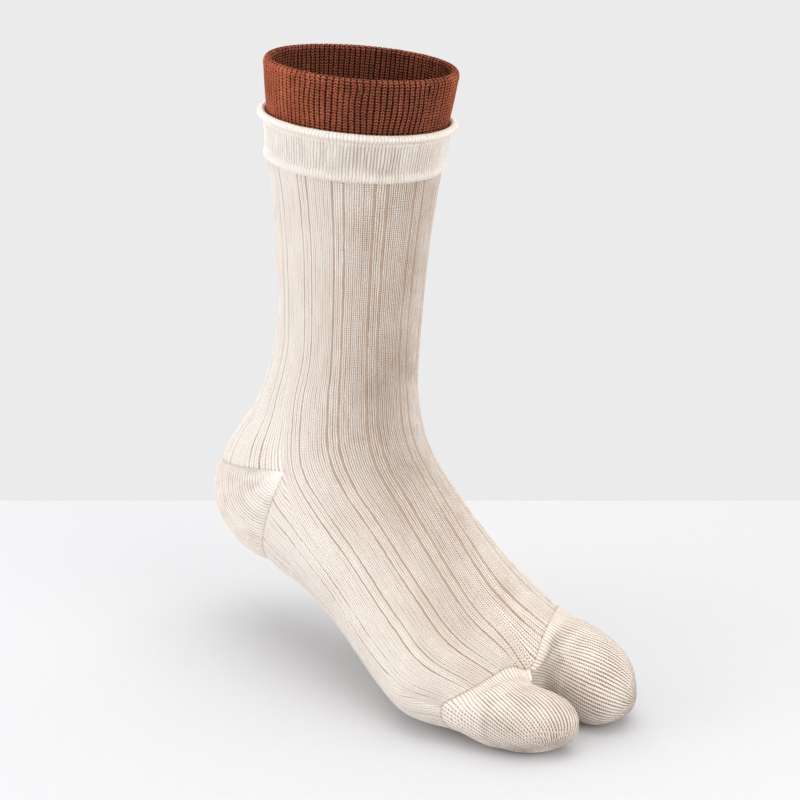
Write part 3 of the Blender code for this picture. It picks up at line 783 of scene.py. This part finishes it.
# --- Welt -----------------------------------------------------------------------------
# A ribbed band with its top edge rolled over and a soft turned ridge along its foot.
# It is knitted on to the leg, and stands a little proud of it all round.
# A band's outline, in mm from the leg's first section, with how strongly its ribs show.
BAND_COLUMNS = ("height", "out", "rib")
WELT_OUTLINE = (
    (-0.6, -1.2, 0.0), (-0.8, -0.1, 0.3), (-0.4, 0.65, 0.5), (0.8, 1.2, 0.5), (2.2, 1.15, 0.6),
    (3.4, 0.75, 0.9), (5.2, 0.8, 1.0), (8.5, 1.15, 1.0), (12.0, 1.65, 0.95), (14.4, 1.95, 0.8),
    (15.1, 2.3, 0.5), (15.7, 2.4, 0.4), (16.1, 2.45, 0.4), (16.4, 3.1, 0.35), (17.0, 4.1, 0.35),
    (17.9, 4.7, 0.35), (18.9, 4.4, 0.35), (19.6, 3.5, 0.35), (19.7, 2.4, 0.35), (18.4, 1.5, 0.4),
    (13.5, 0.3, 0.5), (5.0, -0.9, 0.3),
)
WELT_RIBS, WELT_STEPS, WELT_ROWS = 176, 4, 110   # ribs, points to a rib, and rows round the outline
WELT_COURSE = 0.95
WELT_RIB, WELT_SWELL = 0.17, 0.10   # relief, in mm
# painted shade, for the furrows between the welt's ribs and its loop openings
WELT_PAINTED_SHADE = (0.31, 0.17, 0.09, 1)


def band_points(outline, places, rows, wander):
    """An outline swept round the leg's axis above its first section. With its points come how
    strongly each row is ribbed, the rows' places round the outline, and the outline's core."""
    size = {name: SECTIONS[name][0] for name in SECTIONS}
    lean = np.radians(-size["front_turn"])
    axis = np.array([0, -np.sin(lean), np.cos(lean)])
    ahead = np.array([0, -np.cos(lean), -np.sin(lean)])
    centre = np.array([0, size["y"], size["z"]])
    sideways = np.array([1.0, 0, 0])
    spots = np.linspace(1, len(outline) + 1, rows, endpoint=False)
    line = {name: through(values, spots)
            for name, values in columns_of(outline + outline[:3], BAND_COLUMNS).items()}
    height, out = line["height"], line["out"]
    arcs = np.hypot(np.diff(height, append=height[0]), np.diff(out, append=out[0]))
    angles = np.repeat(places[None, :], rows, axis=0) + wander
    across = (size["half_width"] + out[:, None]) * np.sin(angles)
    forward = (size["front"] + out[:, None]) * np.cos(angles)
    points = (centre + height[:, None, None] * axis + across[..., None] * sideways
              + forward[..., None] * ahead)
    middle = centre + height.mean() * axis
    radius = size["half_width"] + out.mean()
    core = middle + radius * (np.sin(angles)[..., None] * sideways + np.cos(angles)[..., None] * ahead)
    return points, line["rib"][:, None], np.concatenate([[0], np.cumsum(arcs)]), core


def open_ribs(places):
    """1 where the filled leg stretches the ribs open, at the front, and 0 where they close."""
    turned = (np.degrees(places) + 20 + 180) % 360 - 180
    return np.exp(-(turned / 60) ** 2)[None, :]


def ring_normals(points, core):
    """Unit normals of a ring of cloth, away from the core of its outline."""
    down = np.roll(points, -1, axis=0) - np.roll(points, 1, axis=0)
    round_it = np.roll(points, -1, axis=1) - np.roll(points, 1, axis=1)
    normals = np.cross(down, round_it)
    normals /= np.linalg.norm(normals, axis=-1, keepdims=True) + 1e-12
    return normals * np.sign(np.median((normals * (points - core)).sum(-1)))


def closed_ring(**part):
    """A stretch of cloth with its first row repeated at the end."""
    return {name: np.concatenate([rows, rows[:1]]) for name, rows in part.items()}


welt_places = np.arange(WELT_RIBS * WELT_STEPS) / (WELT_RIBS * WELT_STEPS) * 2 * np.pi
welt_wander = 0.006 * soft_noise(WELT_ROWS, len(welt_places), 10, 5)
welt_points, welt_ribbing, welt_arc, welt_core = band_points(
    WELT_OUTLINE, welt_places, WELT_ROWS, welt_wander)
welt_rib = np.arange(len(welt_places)) / WELT_STEPS
rib_wave = np.cos(2 * np.pi * welt_rib)[None, :]
rib_size = (1 + 0.35 * soft_noise(WELT_ROWS, len(welt_places), 14, 4)) * welt_ribbing
welt_depth = WELT_RIB * rib_wave * rib_size + WELT_SWELL * soft_noise(WELT_ROWS, len(welt_places), 10, 24)
# welt_tone sets the strength of the painted shade between the ribs and of the bump: more on bigger ribs and
# where the leg stretches them open
welt_tone = (0.50 + 0.54 * np.clip(rib_size, 0, 1.3)) * (1 - 0.5 * (1 - open_ribs(welt_places)))
welt_part = closed_ring(points=welt_points, normals=ring_normals(welt_points, welt_core),
                        depth=welt_depth, tone=welt_tone)
welt_part["wales"] = (welt_rib + 0.5)[None, :]
welt_part["heights"] = welt_arc
welt = knitted_piece("welt_knit", [welt_part], WELT_RIBS, welt_arc[-1])
welt.data.materials.append(knit_material(
    "cream_cotton_rib", CREAM_LIGHT, CREAM_SHADED, WELT_PAINTED_SHADE, WELT_RIBS, round(welt_arc[-1] / WELT_COURSE),
    columns=0.85, centres=0.2, dots=0.5, depth=0.0004, slope=0.8, chop=0.6, fine=2.4))
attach(welt, "root")
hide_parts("welt")

# --- Inner cuff -----------------------------------------------------------------------
# The top of the inner sock: one-by-one rib in a heathered rust-brown yarn, with its edge
# turned over. Each rib is two strands wide and wavers a little.
CUFF_OUTLINE = (
    (-8.0, -5.6, 0.6), (-8.0, -4.1, 0.6), (0.0, -2.4, 1.0), (10.0, -1.1, 1.0), (17.0, 0.2, 1.0),
    (24.0, 1.35, 1.0), (31.0, 2.25, 1.0), (37.0, 2.85, 1.0), (39.2, 3.15, 0.9), (40.8, 2.75, 0.75),
    (41.6, 1.7, 0.7), (41.2, 0.7, 0.75), (39.8, 0.15, 0.85), (37.6, 0.3, 1.0), (29.0, -0.2, 1.0),
    (20.0, -1.0, 1.0), (10.0, -2.4, 1.0), (0.0, -3.9, 1.0),
)
CUFF_RIBS, CUFF_STEPS, CUFF_ROWS = 104, 8, 96
CUFF_COURSE = 1.2
CUFF_RIB, CUFF_FURROW, CUFF_GROOVE = 0.22, 0.75, 0.22   # relief, in mm
FURROW_HALF_WIDTH, GROOVE_HALF_WIDTH = 0.16, 0.14   # between ribs, and down a rib's middle, in ribs
RUST_LIGHT, RUST_SHADED = (0.69, 0.180, 0.083, 1), (0.23, 0.046, 0.021, 1)
# the first colour here is painted shade, for the furrows between the cuff's ribs and its loop openings
RUST_PAINTED_SHADE, RUST_SHEEN = (0.022, 0.005, 0.003, 1), (1.0, 0.6, 0.45, 1.0)
cuff_places = np.arange(CUFF_RIBS * CUFF_STEPS) / (CUFF_RIBS * CUFF_STEPS) * 2 * np.pi
cuff_wander = 0.012 * soft_noise(CUFF_ROWS, len(cuff_places), 12, 20)
cuff_points, cuff_ribbing, cuff_arc, cuff_core = band_points(
    CUFF_OUTLINE, cuff_places, CUFF_ROWS, cuff_wander)
cuff_rib = np.arange(len(cuff_places)) / CUFF_STEPS
rib_part = cuff_rib % 1
cuff_furrow = np.clip(1 - np.minimum(rib_part, 1 - rib_part) / FURROW_HALF_WIDTH, 0, 1)[None, :]
cuff_middle = np.clip(1 - np.abs(rib_part - 0.5) / GROOVE_HALF_WIDTH, 0, 1)[None, :]
cuff_size = (1 + 0.30 * soft_noise(CUFF_ROWS, len(cuff_places), 12, 8)) * cuff_ribbing
cuff_depth = (CUFF_RIB - CUFF_FURROW * cuff_furrow - CUFF_GROOVE * cuff_middle) * cuff_size
# the first half of the rows goes up the outside, and the ribs on it close away from the front
cuff_outside = np.clip((CUFF_ROWS // 2 - np.arange(CUFF_ROWS)) / 6, 0, 1)[:, None]
cuff_closed = cuff_outside * (1 - open_ribs(cuff_places))
# cuff_tone sets the strength of the painted shade between the ribs and of the bump, less where the ribs close
cuff_tone = (0.7 + 0.45 * np.clip(cuff_size, 0, 1.2)) * (1 - 0.6 * cuff_closed)
cuff_part = closed_ring(points=cuff_points, normals=ring_normals(cuff_points, cuff_core),
                        depth=cuff_depth, tone=cuff_tone)
cuff_part["wales"] = cuff_rib[None, :]
cuff_part["heights"] = cuff_arc
cuff = knitted_piece("inner_cuff_knit", [cuff_part], CUFF_RIBS, cuff_arc[-1])
cuff.data.materials.append(knit_material(
    "rust_heather_rib", RUST_LIGHT, RUST_SHADED, RUST_PAINTED_SHADE, CUFF_RIBS, round(cuff_arc[-1] / CUFF_COURSE),
    columns=1.6, centres=0.7, dots=1.0, depth=0.0006, slope=0.6, chop=0.35, fine=2.2, even=0.85,
    tint=RUST_SHEEN))
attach(cuff, "root")
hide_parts("inner_cuff")
